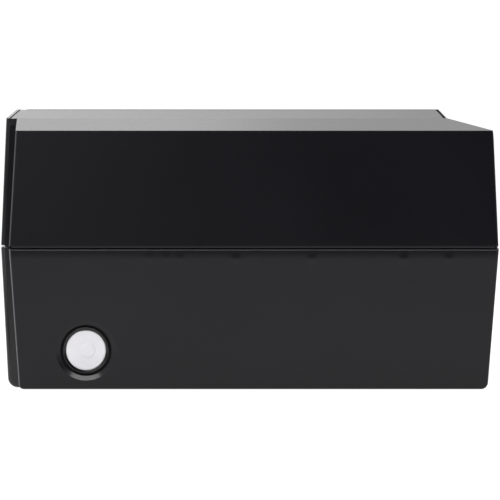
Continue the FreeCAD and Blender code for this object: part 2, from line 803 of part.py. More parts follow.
def make_print_head():
    length = ("platen_x - head_length / 2", "platen_x + head_length / 2")
    width = ("-platen_half_width - 1", "platen_half_width + 1")
    head = box("print_head", length, width, ("head_top - head_thickness", "head_top"))
    block = box("sink_block", length, width, ("sink_bottom", "head_top - head_thickness"))
    fins = []
    for middle in ("platen_x - fin_outer", "platen_x - fin_inner", "platen_x + fin_inner",
                   "platen_x + fin_outer"):
        fins.append(box("fin_gap", (middle + " - fin_gap / 2", middle + " + fin_gap / 2"),
                        ("-half_width", "half_width"), ("sink_bottom - 1", "sink_bottom + fin_depth")))
    sink = cut("head_heatsink", block, *fins)
    springs = [tube("head_spring_" + side, "z", ("platen_x", place, "spring_bottom"), "spring_radius",
                    "spring_radius - spring_wire", "spring_height")
               for side, place in (("right", "-spring_offset"), ("left", "spring_offset"))]
    return [head, sink, group("head_springs", *springs)]


def make_platen():
    low = "-(frame_half_width + platen_shaft_end)"
    shaft = rod("platen_shaft", "y", ("platen_x", low, "platen_z"), "platen_shaft_radius",
                "frame_half_width + 2 * platen_shaft_end + gear_near + gear_width")
    rubber = tube("platen_roller", "y", ("platen_x", "-platen_half_width", "platen_z"), "platen_radius",
                  "platen_shaft_radius", "2 * platen_half_width")
    return [shaft, rubber]


def make_platen_bracket():
    front = "blade_x + blade_sheet + blade_gap + blade_sheet"
    back = "platen_x + ear_length / 2"
    outside = "frame_half_width - bracket_inset"
    top = box("bracket_top", (front, back), ("-(%s)" % outside, outside),
              ("ceiling - bracket_sheet", "ceiling"))
    face = box("bracket_face", (front, front + " + bracket_sheet"), ("-mouth_half_width", "mouth_half_width"),
               ("platen_z", "ceiling"))
    ears = []
    for name, low, high in (("right", "-(%s)" % outside, "-(%s) + bracket_sheet" % outside),
                            ("left", outside + " - bracket_sheet", outside)):
        ears.append(box("bracket_ear_" + name, ("platen_x - ear_length / 2", back), (low, high),
                        ("platen_z - platen_radius + 1", "ceiling")))
    bore = rod("bush_bore", "y", ("platen_x", "-half_width", "platen_z"),
               "platen_shaft_radius + shaft_play + bush_wall", "2 * half_width")
    bracket = cut("platen_bracket", fuse("bracket_bent", top, face, *ears), bore)
    bushes = [tube("platen_bush_" + name, "y", ("platen_x", low, "platen_z"),
                   "platen_shaft_radius + shaft_play + bush_wall", "platen_shaft_radius + shaft_play",
                   "bracket_sheet")
              for name, low in (("right", "-(%s)" % outside), ("left", outside + " - bracket_sheet"))]
    return [bracket, group("platen_bushes", *bushes)]


TOOTH_TIP, TOOTH_ROOT, TIP_SHARE, ROOT_SHARE = 0.8, 1.05, 0.11, 0.21


def gear(name, teeth, bore, x, z, phase):
    """A spur gear on an axis along Y: a disc, one tooth and its polar pattern."""
    body = doc.addObject("PartDesign::Body", name)
    radius = "gear_module * %s / 2" % teeth
    disc = sketch(body, "XZ_Plane", name + "_disc", "0")
    disc.addGeometry(Part.Circle(FreeCAD.Vector(), FreeCAD.Vector(0, 0, 1), START_RADIUS))
    disc.addGeometry(Part.Circle(FreeCAD.Vector(), FreeCAD.Vector(0, 0, 1), START_RADIUS / 2))
    for index, text in enumerate(("%s - %s * gear_module" % (radius, TOOTH_ROOT), bore)):
        disc.addConstraint(Sketcher.Constraint("Coincident", index, 3, -1, 1))
        number = disc.addConstraint(Sketcher.Constraint("Radius", index, START_RADIUS / (index + 1)))
        disc.setExpression("Constraints[%d]" % number, formula(text))
    doc.recompute()
    pad = body.newObject("PartDesign::Pad", name + "_web")
    pad.Profile = disc
    bind(pad, Length="gear_width")
    doc.recompute()
    tooth = sketch(body, "XZ_Plane", name + "_tooth", "0")
    tip, root = "%s + %s * gear_module" % (radius, TOOTH_TIP), "%s - 1.5 * gear_module" % radius
    tip_half, root_half = ("%s * pi * gear_module" % share for share in (TIP_SHARE, ROOT_SHARE))
    outline(tooth, [(root, "-(%s)" % root_half), (tip, "-(%s)" % tip_half), (tip, tip_half),
                    (root, root_half)])
    first = body.newObject("PartDesign::Pad", name + "_first_tooth")
    first.Profile = tooth
    bind(first, Length="gear_width")
    doc.recompute()
    ring = body.newObject("PartDesign::PolarPattern", name + "_ring")
    ring.Originals = [first]
    ring.Axis = (tooth, ["N_Axis"])
    ring.Angle = 360
    bind(ring, Occurrences=teeth)
    body.Tip = ring
    body.Placement = FreeCAD.Placement(FreeCAD.Vector(), FreeCAD.Rotation(FreeCAD.Vector(0, 1, 0), -phase))
    put(body, x, "gear_near + gear_width", z)
    return body


def make_gears():
    """Three gears in mesh: a tooth of the idler points up into a gap of the platen gear."""
    idler_pitch = 360 / size("idler_teeth")
    platen_pitch = 360 / size("platen_teeth")
    pinion_pitch = 360 / size("pinion_teeth")
    reach = size("gear_module") * (size("idler_teeth") + size("pinion_teeth")) / 2
    down = math.sqrt(reach ** 2 - size("pinion_offset") ** 2)
    line = math.degrees(math.atan2(-down, size("pinion_offset")))
    ahead = (90 - line) % idler_pitch
    gap = line + 180 - ahead * size("idler_teeth") / size("pinion_teeth")
    platen = gear("platen_gear", "platen_teeth", "platen_shaft_radius", "platen_x", "platen_z",
                  -90 + platen_pitch / 2)
    idler = gear("idler_gear", "idler_teeth", "idler_shaft_radius + shaft_play", "platen_x", "idler_z",
                 90 % idler_pitch)
    pinion = gear("motor_pinion", "pinion_teeth", "motor_shaft_radius", "pinion_x", pinion_height(),
                  gap + pinion_pitch / 2)
    idler_shaft = rod("idler_shaft", "y", ("platen_x", "frame_outside", "idler_z"), "idler_shaft_radius",
                      "gear_offset + gear_width + platen_shaft_end")
    return [platen, idler, pinion, idler_shaft]


def make_motor():
    motor = rod("stepper_motor", "y", ("pinion_x", "frame_half_width - motor_length", pinion_height()),
                "motor_radius", "motor_length")
    shaft = rod("motor_shaft", "y", ("pinion_x", "frame_half_width", pinion_height()), "motor_shaft_radius",
                "frame_sheet + gear_offset + gear_width")
    return [motor, shaft]


def make_cutter():
    blade = box("cutter_blade", ("blade_x", "blade_x + blade_sheet"), ("-blade_half_width", "blade_half_width"),
                ("cover_bottom - blade_drop - blade_height", "cover_bottom - blade_drop"))
    low = "blade_x + blade_sheet + blade_gap"
    fixed = box("fixed_blade", (low, low + " + blade_sheet"), ("-mouth_half_width", "mouth_half_width"),
                ("cover_bottom + fixed_blade_rise", "cover_bottom + fixed_blade_rise + fixed_blade_height"))
    slideways = []
    for name, low, high in (("right", "-(frame_outside)", "-blade_half_width - slideway_play"),
                            ("left", "blade_half_width + slideway_play", "frame_outside")):
        slideways.append(box("slideway_" + name, ("blade_x - slideway_wrap", "frame_x"), (low, high),
                             ("base_top - slideway_height", "base_top")))
    return [blade, fixed, group("cutter_slideways", *slideways)]


def make_paper_guide():
    return box("paper_guide", ("roll_x - well_radius - well_wall - guide_gap - guide_overlap - frame_length / 2",
                               "roll_x - well_radius - well_wall - guide_gap"),
               ("-frame_half_width", "frame_half_width"), ("roll_z - guide_plate", "roll_z"))


# Cover release
def make_release():
    shaft = rod("release_shaft", "y", ("release_x", "release_end_gap - core_half", "release_height"),
                "release_shaft_radius",
                "core_half - release_end_gap + cheek_inside_high - knob_recess - knob_thickness")
    disc = rod("knob_disc", "y", ("release_x", "cheek_inside_high - knob_recess - knob_thickness",
                                  "release_height"), "knob_radius", "knob_thickness")
    grip = box("knob_grip", ("release_x - grip_half_length", "release_x + grip_half_length"),
               ("cheek_inside_high - knob_recess", "cheek_inside_high - knob_recess + grip_rise"),
               ("release_height - grip_half_height", "release_height + grip_half_height"))
    knob = fuse("release_knob", disc, grip)
    hooks = []
    for name, low in (("right", "hook_offset - core_inside"), ("left", "core_inside - hook_offset - hook_width")):
        span = (low, low + " + hook_width")
        arm = box("hook_arm_" + name, ("release_x - hook_half_thickness", "release_x + hook_half_thickness"),
                  span, ("release_height - hook_reach", "release_height"))
        eye = rod("hook_eye_" + name, "y", ("release_x", low, "release_height"),
                  "release_shaft_radius + hook_half_thickness", "hook_width")
        nose = box("hook_nose_" + name, ("release_x", "release_x + hook_half_thickness + hook_nose"), span,
                   ("release_height - hook_reach", "release_height - hook_reach + hook_nose_height"))
        bore = rod("hook_bore_" + name, "y", ("release_x", low, "release_height"), "release_shaft_radius",
                   "hook_width")
        hooks.append(cut("latch_hook_" + name, fuse("hook_" + name, arm, eye, nose), bore))
    strikes = [rod("strike_" + name, "y", ("release_x + strike_ahead", low, "base_top - strike_drop"),
                   "strike_radius", "strike_length")
               for name, low in (("right", "-core_inside"), ("left", "core_inside - strike_length"))]
    return [shaft, knob, group("latch_hooks", *hooks), group("strike_pins", *strikes)]


# Buttons, lights and boards
def make_power_button():
    front = "-(button_face) + power_sink"
    cap = rod("power_cap", "y", ("power_x", front, "power_height"), "power_radius", "power_length")
    doc.recompute()
    rounded = doc.addObject("Part::Fillet", "power_cap_rounded")
    rounded.Base = cap
    rim = [index for index, edge in enumerate(cap.Shape.Edges, start=1)
           if len(edge.Vertexes) == 1 and at(edge.Vertexes[0].Point.y, cap.Shape.BoundBox.YMin)]
    rounded.Edges = [(index, size("power_edge"), size("power_edge")) for index in rim]
    stem = rod("power_stem", "y", ("power_x", front + " + power_length", "power_height"), "stem_radius",
               "button_face - power_sink - power_length - core_inside + stem_reach")
    button = fuse("power_button", rounded, stem)
    ring_front = "-(button_face) + power_sink + ring_sink"
    band = rod("ring_band", "y", ("power_x", ring_front, "power_height"), "power_radius + ring_width",
               "ring_length")
    doc.recompute()
    softened = doc.addObject("Part::Fillet", "ring_softened")
    softened.Base = band
    rim = [index for index, edge in enumerate(band.Shape.Edges, start=1)
           if len(edge.Vertexes) == 1 and at(edge.Vertexes[0].Point.y, band.Shape.BoundBox.YMin)]
    softened.Edges = [(index, size("ring_edge"), size("ring_edge")) for index in rim]
    ring = cut("power_button_ring", softened, rod("ring_bore", "y", ("power_x", ring_front, "power_height"),
                                                  "power_radius", "ring_length"))
    sleeve = rod("guide_sleeve", "y", ("power_x", "-(cheek_inside_low)", "power_height"),
                 "power_well_radius + guide_wall", "guide_depth")
    wide = rod("guide_wide", "y", ("power_x", "-(cheek_inside_low) - 1", "power_height"), "power_well_radius",
               "guide_depth - guide_floor + 1")
    narrow = rod("guide_narrow", "y", ("power_x", "-(cheek_inside_low)", "power_height"),
                 "power_radius + power_play", "guide_depth")
    guide = cut("power_button_guide", sleeve, wide, narrow)
    near = "stem_reach + switch_gap - core_inside"
    half = "switch_side / 2"
    switch = box("power_switch", ("power_x - " + half, "power_x + " + half), (near, near + " + switch_depth"),
                 ("power_height - " + half, "power_height + " + half))
    board_half = "switch_board_side / 2"
    board = box("switch_board", ("power_x - " + board_half, "power_x + " + board_half),
                (near + " + switch_depth", near + " + switch_depth + switch_board"),
                ("floor_top", "power_height + " + board_half))
    return [button, ring, guide, switch, board]


def make_front_controls():
    span = ("-feed_side - feed_half_width", "-feed_side + feed_half_width")
    feed = box("feed_button", ("front_face - feed_proud", "front_face - feed_proud + feed_length"), span,
               ("feed_height - feed_half_height", "feed_height + feed_half_height"))
    board_front = "front_face - feed_proud + feed_length + feed_gap + switch_side / 2"
    half = "switch_side / 2"
    switch = box("feed_switch", ("front_face - feed_proud + feed_length + feed_gap", board_front),
                 ("-feed_side - " + half, "-feed_side + " + half),
                 ("feed_height - " + half, "feed_height + " + half))
    board = box("panel_board", (board_front, board_front + " + panel_board"),
                ("-frame_half_width", "panel_board_width - frame_half_width"),
                ("feed_height - panel_board_half_height", "feed_height + panel_board_half_height"))
    lights = [rod("status_light_%d" % index, "x", ("front_face", light_side(index), "feed_height"),
                  "light_radius", "light_length") for index in range(LIGHT_COUNT)]
    return [feed, switch, board, group("status_lights", *lights)]


def make_main_board():
    return box("main_board", ("board_back - board_length", "board_back"),
               ("-board_half_width", "board_half_width"), ("board_bottom", "board_top"))


def make_underside():
    plate = box("plate_sheet_blank", ("plate_inset - half_length", "half_length - plate_inset"),
                ("plate_side_inset - core_half", "core_half - plate_side_inset"),
                ("foot_height", "foot_height + plate_sheet"))
    holes, screws, feet = [], [], []
    for x, y in screw_places():
        holes.append(rod("plate_hole", "z", (x, y, "foot_height - 1"), "screw_radius + screw_play",
                         "plate_sheet + 2"))
        shank = rod("screw_shank", "z", (x, y, "foot_height"), "screw_radius", "floor_thickness")
        head = rod("screw_head", "z", (x, y, "foot_height - screw_head"), "screw_head_radius", "screw_head")
        screws.append(fuse("screw", shank, head))
    for x in ("foot_inset - half_length", "half_length - foot_inset"):
        for y in ("foot_side_inset - core_half", "core_half - foot_side_inset"):
            feet.append(rod("foot", "z", (x, y, "0"), "foot_radius", "foot_height"))
    return [cut("bottom_plate", plate, *holes), group("bottom_screws", *screws), group("rubber_feet", *feet)]


nodes = [make_base_case(), *make_cheeks(), make_cover_shell(), make_top_panel(), make_hinge_pins(),
         make_roll_bin(), make_mech_frame(), *make_print_head(), *make_platen(), *make_platen_bracket(),
         *make_gears(), *make_motor(), *make_cutter(), make_paper_guide(), *make_release(),
         *make_power_button(), *make_front_controls(), make_main_board(), *make_sockets(), *make_underside()]
doc.recompute()

# Nothing is written unless every object is sound
for item in doc.Objects:
    if "Invalid" in item.State or "Error" in item.State:
        raise RuntimeError("%s failed: %s" % (item.Name, item.State))
for item in nodes:
    if item.Shape.isNull() or not item.Shape.isValid() or not item.Shape.Solids:
        raise RuntimeError("%s has no sound shape" % item.Label)
os.makedirs("parts", exist_ok=True)
for item in nodes:
    item.Shape.exportStep(os.path.join("parts", item.Label + ".step"))
    print(item.Label, len(item.Shape.Solids), round(item.Shape.Volume, 1))
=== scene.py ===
import json
import math

import bmesh
import bpy
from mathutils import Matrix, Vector


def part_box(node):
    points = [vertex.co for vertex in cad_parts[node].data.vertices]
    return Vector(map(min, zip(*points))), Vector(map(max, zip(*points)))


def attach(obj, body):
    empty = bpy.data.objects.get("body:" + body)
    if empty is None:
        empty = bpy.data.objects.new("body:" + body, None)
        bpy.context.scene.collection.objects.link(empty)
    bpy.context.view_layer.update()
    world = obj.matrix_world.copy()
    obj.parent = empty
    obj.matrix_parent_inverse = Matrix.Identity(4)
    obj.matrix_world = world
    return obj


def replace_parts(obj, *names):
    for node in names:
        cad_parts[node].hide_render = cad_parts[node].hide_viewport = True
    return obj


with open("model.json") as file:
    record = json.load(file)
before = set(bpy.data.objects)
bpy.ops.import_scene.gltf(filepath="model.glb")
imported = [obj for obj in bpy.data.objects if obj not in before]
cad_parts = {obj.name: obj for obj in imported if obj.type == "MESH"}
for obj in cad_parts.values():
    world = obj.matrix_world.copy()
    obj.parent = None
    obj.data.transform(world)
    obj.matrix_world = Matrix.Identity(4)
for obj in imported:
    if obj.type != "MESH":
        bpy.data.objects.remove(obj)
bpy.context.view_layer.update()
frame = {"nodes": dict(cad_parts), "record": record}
nodes = frame["nodes"]
mm = 0.001
print("frame loaded:", len(nodes), "nodes")


def toLinear(hexColour):
    parts = [int(hexColour[i:i + 2], 16) / 255 for i in (0, 2, 4)]
    return tuple(p / 12.92 if p <= 0.04045 else ((p + 0.055) / 1.055) ** 2.4 for p in parts) + (1.0,)


def addNode(tree, kind, inputs=None, **settings):
    node = tree.nodes.new(kind)
    for key, value in settings.items():
        setattr(node, key, value)
    for key, value in (inputs or {}).items():
        if isinstance(value, bpy.types.NodeSocket):
            tree.links.new(value, node.inputs[key])
        else:
            node.inputs[key].default_value = value
    return node


def startMaterial(name):
    material = bpy.data.materials.new(name)
    material.use_nodes = True
    tree = material.node_tree
    tree.nodes.clear()
    return material, tree, addNode(tree, "ShaderNodeTexCoord").outputs["Object"]


def endMaterial(tree, shader):
    addNode(tree, "ShaderNodeOutputMaterial", {"Surface": shader.outputs[0]})


def perMetre(sizeInMm):
    return 1 / (sizeInMm * mm)  # texture scale that repeats once in that many millimetres


noiseRange = (0.3, 0.7)  # most of a noise pattern's values lie between these


# colour from slow clouds and roughness from a fine pattern, each spread over the noise's usual range
def toneAndGloss(tree, clouds, fine, values):
    colour = addNode(tree, "ShaderNodeValToRGB", {"Fac": clouds})
    for stop, position, tone in zip(colour.color_ramp.elements, noiseRange, ("deep", "pale")):
        stop.position = position
        stop.color = toLinear(values[tone])
    rough = addNode(tree, "ShaderNodeMapRange", {
        "Value": fine, "From Min": noiseRange[0], "From Max": noiseRange[1],
        "To Min": values["rough"] - values["roughSpread"],
        "To Max": values["rough"] + values["roughSpread"]})
    return colour.outputs["Color"], rough.outputs["Result"]


# plastic moulded in a steel tool: even colour with slow flow clouds, a fine tool grain, slightly wavy flats
def mouldedPlastic(name, values):
    material, tree, place = startMaterial(name)
    grain = addNode(tree, "ShaderNodeTexNoise", {
        "Vector": place, "Scale": perMetre(values["grainMm"]), "Detail": 3.0, "Roughness": 0.6}).outputs["Fac"]
    flow = addNode(tree, "ShaderNodeTexNoise", {
        "Vector": place, "Scale": perMetre(values["flowMm"]), "Detail": 2.0, "Roughness": 0.5}).outputs["Fac"]
    paint, rough = toneAndGloss(tree, flow, grain, values)
    # painted highlight along a cheek's front edge
    if "wear" in values:
        paint = paintEdgeHighlight(tree, place, paint, values["wear"])
    normal = addNode(tree, "ShaderNodeBump", {
        "Height": flow, "Strength": 1.0, "Distance": values["waveMm"] * mm}).outputs["Normal"]
    if "marks" in values:
        normal = raisedMarks(tree, place, normal, values["marks"])
    bump = addNode(tree, "ShaderNodeBump", {
        "Height": grain, "Normal": normal, "Strength": 1.0, "Distance": values["depthMm"] * mm})
    endMaterial(tree, addNode(tree, "ShaderNodeBsdfPrincipled", {
        "Base Color": paint, "Roughness": rough, "IOR": values["ior"],
        "Specular IOR Level": values["specular"], "Transmission Weight": values.get("clear", 0.0),
        "Normal": bump.outputs["Normal"]}))
    return material


# faint swellings that the ribs behind a wall leave on its face, and a wall's rolled upper edge
def raisedMarks(tree, place, normal, values):
    flat = addNode(tree, "ShaderNodeVectorMath", {0: place, 1: (1, 0, 1)}, operation="MULTIPLY")
    total = 0.0
    for x, z, inner, radius, rise in values["spots"]:
        away = addNode(tree, "ShaderNodeVectorMath", {
            0: flat.outputs["Vector"], 1: (x * mm, 0, z * mm)}, operation="DISTANCE")
        spot = addNode(tree, "ShaderNodeMapRange", {
            "Value": away.outputs["Value"], "From Min": inner * mm, "From Max": radius * mm,
            "To Min": rise, "To Max": 0.0}, interpolation_type="SMOOTHSTEP")
        total = addNode(tree, "ShaderNodeMath", {0: spot.outputs["Result"], 1: total}).outputs[0]
    if "edge" in values:
        low, high, fall = values["edge"]
        height = addNode(tree, "ShaderNodeSeparateXYZ", {0: place}).outputs["Z"]
        share = addNode(tree, "ShaderNodeMapRange", {
            "Value": height, "From Min": low * mm, "From Max": high * mm})
        curve = addNode(tree, "ShaderNodeMath", {0: share.outputs["Result"], 1: 2.0}, operation="POWER")
        total = addNode(tree, "ShaderNodeMath", {
            0: curve.outputs[0], 1: -fall, 2: total}, operation="MULTIPLY_ADD").outputs[0]
    return addNode(tree, "ShaderNodeBump", {
        "Height": total, "Normal": normal, "Strength": 1.0, "Distance": mm}).outputs["Normal"]


# painted highlight: a paler line painted along the long edge between a cheek's face and its front, where its
# rounded edge catches the light
def paintEdgeHighlight(tree, place, paint, values):
    axes = addNode(tree, "ShaderNodeSeparateXYZ", {0: place}).outputs
    out = addNode(tree, "ShaderNodeMath", {0: axes["Y"]}, operation="ABSOLUTE").outputs[0]
    masks = []
    for along, (atFloor, lean) in ((axes["X"], values["front"]), (out, values["side"])):
        edge = addNode(tree, "ShaderNodeMath", {
            0: axes["Z"], 1: lean, 2: atFloor * mm}, operation="MULTIPLY_ADD")
        away = addNode(tree, "ShaderNodeMath", {0: along, 1: edge.outputs[0]}, operation="SUBTRACT")
        size = addNode(tree, "ShaderNodeMath", {0: away.outputs[0]}, operation="ABSOLUTE")
        masks.append(addNode(tree, "ShaderNodeMapRange", {
            "Value": size.outputs[0], "From Min": values["core"] * mm, "From Max": values["width"] * mm,
            "To Min": 1.0, "To Max": 0.0}).outputs[0])
    both = addNode(tree, "ShaderNodeMath", {0: masks[0], 1: masks[1]}, operation="MULTIPLY")
    return addNode(tree, "ShaderNodeMix", {
        "Factor": both.outputs[0], 6: paint, 7: toLinear(values["tone"])}, data_type="RGBA").outputs[2]


# ABS from a spark-eroded tool: satin black; its grain of about 0.08 mm is drawn ten times coarser to show
caseValues = {
    "deep": "100f13", "pale": "131216", "rough": 0.2, "roughSpread": 0.02, "grainMm": 0.8, "depthMm": 0.003,
    "flowMm": 45.0, "waveMm": 0.03, "ior": 1.5, "specular": 0.265}
caseAbs = mouldedPlastic("textured black ABS", caseValues)

# the cheeks are widest at the parting line; over their height their fronts and faces lean back and in from it
halfWidth = 72.5
lower = {"widest": 56.95, "height": 56.35, "frontLean": 3.9, "sideLean": 2.2}
upper = {"widest": 57.85, "height": 46.25, "frontLean": 2.7, "sideLean": 2.0}
# the painted edge highlight is full within core and gone at width, in millimetres from the edge line
wear = {"core": 0.1, "width": 0.6}
frontLean, sideLean = (lower[key] / lower["height"] for key in ("frontLean", "sideLean"))
lowerEdgeHighlight = dict(
    wear, tone="7a797e", side=(halfWidth - sideLean * lower["widest"], sideLean),
    front=(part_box("base_cheek_right")[0][0] / mm + frontLean * lower["widest"], -frontLean))
highlitCheekAbs = mouldedPlastic("textured black ABS with a painted edge highlight", dict(caseValues, wear=lowerEdgeHighlight))
frontLean, sideLean = (upper[key] / upper["height"] for key in ("frontLean", "sideLean"))
upperEdgeHighlight = dict(
    wear, tone="4e4d52", side=(halfWidth + sideLean * upper["widest"], -sideLean),
    front=(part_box("cover_cheek_right")[0][0] / mm - frontLean * upper["widest"], frontLean))
highlitCoverAbs = mouldedPlastic("textured black ABS with a painted upper edge highlight", dict(caseValues, wear=upperEdgeHighlight))
# each spot is x, z, flat radius, outer radius and rise; the edge is its two heights and its fall
# the button's side also carries the painted edge highlight of the lower cheek
buttonSideAbs = mouldedPlastic("textured black ABS with rib marks", dict(caseValues, wear=lowerEdgeHighlight, marks={
    "spots": ((-5.4, 52.8, 0, 2.8, 0.08), (25.0, 52.8, 0, 2.8, 0.08), (61.8, 52.8, 0, 2.8, 0.08),
              (79.7, 52.8, 0, 2.8, 0.08), (-28.0, 53.1, 0, 2.6, 0.06), (-33.5, 53.3, 0, 2.6, 0.05),
              (-40.0, 53.3, 0, 2.6, 0.05)),
    "edge": (52.4, 57.0, 0.18)}))
# ABS from a smoother tool: the same black with a little more gloss
coreAbs = mouldedPlastic("smooth black ABS", dict(caseValues, rough=0.18, depthMm=0.002, specular=0.46))
# ABS from a blasted tool: the same black, duller, so that the nose stays dark
coverAbs = mouldedPlastic("dull black ABS", dict(caseValues, depthMm=0.002, specular=0.2))
# ABS from a stoned tool: satin lid that takes a broad, even reflection, as flat to the eye as a moulding gets
panelAbs = mouldedPlastic("satin black ABS", {
    "deep": "100f13", "pale": "141317", "rough": 0.26, "roughSpread": 0.02, "grainMm": 0.8, "depthMm": 0.002,
    "flowMm": 60.0, "waveMm": 0.03, "ior": 1.5, "specular": 0.36})
# ABS left dull from the tool, as on pieces inside a case: grey with a dry sheen
innerAbs = mouldedPlastic("dark grey ABS", {
    "deep": "2c2c2f", "pale": "343437", "rough": 0.5, "roughSpread": 0.06, "grainMm": 0.7, "depthMm": 0.006,
    "flowMm": 30.0, "waveMm": 0.02, "ior": 1.5, "specular": 0.45})
# white ABS: soft satin, with a faint raised disc where the stem's root stands behind it
buttonAbs = mouldedPlastic("satin white ABS", {
    "deep": "dddce0", "pale": "e3e2e5", "rough": 0.36, "roughSpread": 0.03, "grainMm": 0.6, "depthMm": 0.002,
    "flowMm": 9.0, "waveMm": 0.01, "ior": 1.5, "specular": 0.5,
    "marks": {"spots": ((-64.6, 16.2, 2.3, 3.2, 0.25),)}})
# ABS from a polished tool: nearly black and slightly dished, with sharp thin highlights round its edge
ringAbs = mouldedPlastic("polished black ABS", {
    "deep": "0e0e10", "pale": "121214", "rough": 0.12, "roughSpread": 0.02, "grainMm": 1.0, "depthMm": 0.001,
    "flowMm": 8.0, "waveMm": 0.005, "ior": 1.52, "specular": 0.4,
    "marks": {"spots": ((-65.4, 16.2, 7.9, 9.8, -0.3),)}})
# glass-filled nylon: black, a little oily, with a mottled gloss
socketNylon = mouldedPlastic("black nylon", {
    "deep": "121213", "pale": "1a1a1b", "rough": 0.3, "roughSpread": 0.08, "grainMm": 0.5, "depthMm": 0.003,
    "flowMm": 6.0, "waveMm": 0.01, "ior": 1.53, "specular": 0.5})
# natural acetal: waxy ivory
gearAcetal = mouldedPlastic("natural acetal", {
    "deep": "d3cfc2", "pale": "dfdcd2", "rough": 0.42, "roughSpread": 0.05, "grainMm": 0.6, "depthMm": 0.003,
    "flowMm": 7.0, "waveMm": 0.01, "ior": 1.48, "specular": 0.5})
# polycarbonate light guides: cloudy and half clear
lightPlastic = mouldedPlastic("frosted polycarbonate", {
    "deep": "b9c6c0", "pale": "cfd6d2", "rough": 0.25, "roughSpread": 0.04, "grainMm": 0.5, "depthMm": 0.002,
    "flowMm": 3.0, "waveMm": 0.004, "ior": 1.58, "specular": 0.5, "clear": 0.35})
# moulded rubber: dead black with a dusty grain
footRubber = mouldedPlastic("black moulded rubber", {
    "deep": "161617", "pale": "1d1d1f", "rough": 0.8, "roughSpread": 0.06, "grainMm": 0.5, "depthMm": 0.01,
    "flowMm": 5.0, "waveMm": 0.01, "ior": 1.5, "specular": 0.3})
print("plastics ready")


# metal or rubber with the marks of its making: long fine lines along one axis, and slow changes of tone
def workedSurface(name, values):
    material, tree, place = startMaterial(name)
    stretch = [perMetre(values["lineMm"])] * 3
    stretch[values["along"]] = perMetre(values["lineMm"] * values["lineStretch"])
    spread = addNode(tree, "ShaderNodeVectorMath", {0: place, 1: stretch}, operation="MULTIPLY")
    lines = addNode(tree, "ShaderNodeTexNoise", {
        "Vector": spread.outputs["Vector"], "Scale": 1.0, "Detail": 2.0, "Roughness": 0.6}).outputs["Fac"]
    patch = addNode(tree, "ShaderNodeTexNoise", {
        "Vector": place, "Scale": perMetre(values["patchMm"]), "Detail": 3.0, "Roughness": 0.55}).outputs["Fac"]
    paint, rough = toneAndGloss(tree, patch, lines, values)
    normal = addNode(tree, "ShaderNodeBump", {
        "Height": lines, "Strength": 1.0, "Distance": values["depthMm"] * mm}).outputs["Normal"]
    if "crosses" in values:
        paint, normal = crossRecess(tree, place, paint, values["crosses"])
    endMaterial(tree, addNode(tree, "ShaderNodeBsdfPrincipled", {
        "Base Color": paint, "Roughness": rough, "Metallic": values["metallic"], "Normal": normal}))
    return material


# cross recess of a screw head: painted shade darkens the cross where the recess would be shaded, and a bump
# dents it; four heads stand at plus and minus one place, so one drawing serves all
def crossRecess(tree, place, paint, values):
    folded = addNode(tree, "ShaderNodeVectorMath", {0: place}, operation="ABSOLUTE")
    x, y = (c * mm for c in values["place"])
    offset = addNode(tree, "ShaderNodeVectorMath", {
        0: folded.outputs["Vector"], 1: (x, y, 0)}, operation="SUBTRACT")
    size = addNode(tree, "ShaderNodeVectorMath", {0: offset.outputs["Vector"]}, operation="ABSOLUTE")
    axes = addNode(tree, "ShaderNodeSeparateXYZ", {0: size.outputs["Vector"]}).outputs
    masks = []
    for operation, key in (("MINIMUM", "slotMm"), ("MAXIMUM", "reachMm")):
        away = addNode(tree, "ShaderNodeMath", {0: axes["X"], 1: axes["Y"]}, operation=operation)
        inner, outer = values[key]
        masks.append(addNode(tree, "ShaderNodeMapRange", {
            "Value": away.outputs[0], "From Min": inner * mm, "From Max": outer * mm,
            "To Min": 1.0, "To Max": 0.0}).outputs[0])
    cross = addNode(tree, "ShaderNodeMath", {0: masks[0], 1: masks[1]}, operation="MULTIPLY").outputs[0]
    shade = addNode(tree, "ShaderNodeMix", {
        "Factor": cross, 6: paint, 7: toLinear(values["shade"])}, data_type="RGBA")
    dent = addNode(tree, "ShaderNodeBump", {
        "Height": cross, "Strength": 1.0, "Distance": values["dentMm"] * mm}, invert=True)
    return shade.outputs[2], dent.outputs["Normal"]


# cold-rolled sheet under bright zinc: soft grey with rolling lines
sheetSteel = workedSurface("zinc-plated steel sheet", {
    "deep": "9a9da0", "pale": "b7babc", "rough": 0.36, "roughSpread": 0.06, "lineMm": 0.4,
    "lineStretch": 40.0, "along": 0, "depthMm": 0.003, "patchMm": 5.0, "metallic": 1.0})
# steel turned on a lathe: bright, with rings round its length
turnedValues = {
    "deep": "b0b2b5", "pale": "c6c8ca", "rough": 0.24, "roughSpread": 0.06, "lineMm": 0.3,
    "lineStretch": 0.3, "along": 1, "depthMm": 0.002, "patchMm": 6.0, "metallic": 1.0}
turnedSteel = workedSurface("turned steel", turnedValues)
# the same steel with a driver's cross pressed into each head, drawn as a bump dent with painted shade
screwSteel = workedSurface("cross-recessed screw steel", dict(turnedValues, crosses={
    "place": (74.7, 50.0), "shade": "2a2b2d", "slotMm": (0.3, 0.5), "reachMm": (1.1, 1.5), "dentMm": 0.8}))
# hardened blade steel off a surface grinder: fine lines across the edge
bladeSteel = workedSurface("ground blade steel", {
    "deep": "b9bcbf", "pale": "d1d3d5", "rough": 0.2, "roughSpread": 0.06, "lineMm": 0.25,
    "lineStretch": 60.0, "along": 2, "depthMm": 0.002, "patchMm": 9.0, "metallic": 1.0})
# motor can in black stove enamel: dull with a slight orange peel
motorCoat = workedSurface("black enamelled steel", {
    "deep": "222326", "pale": "2b2c2f", "rough": 0.48, "roughSpread": 0.06, "lineMm": 0.5,
    "lineStretch": 1.0, "along": 0, "depthMm": 0.004, "patchMm": 4.0, "metallic": 0.0})
# pressed shells in bright nickel: slightly warm mirror with drawing lines
socketNickel = workedSurface("nickel-plated steel", {
    "deep": "b3b3b1", "pale": "cccbc8", "rough": 0.22, "roughSpread": 0.05, "lineMm": 0.35,
    "lineStretch": 30.0, "along": 0, "depthMm": 0.002, "patchMm": 4.0, "metallic": 1.0})
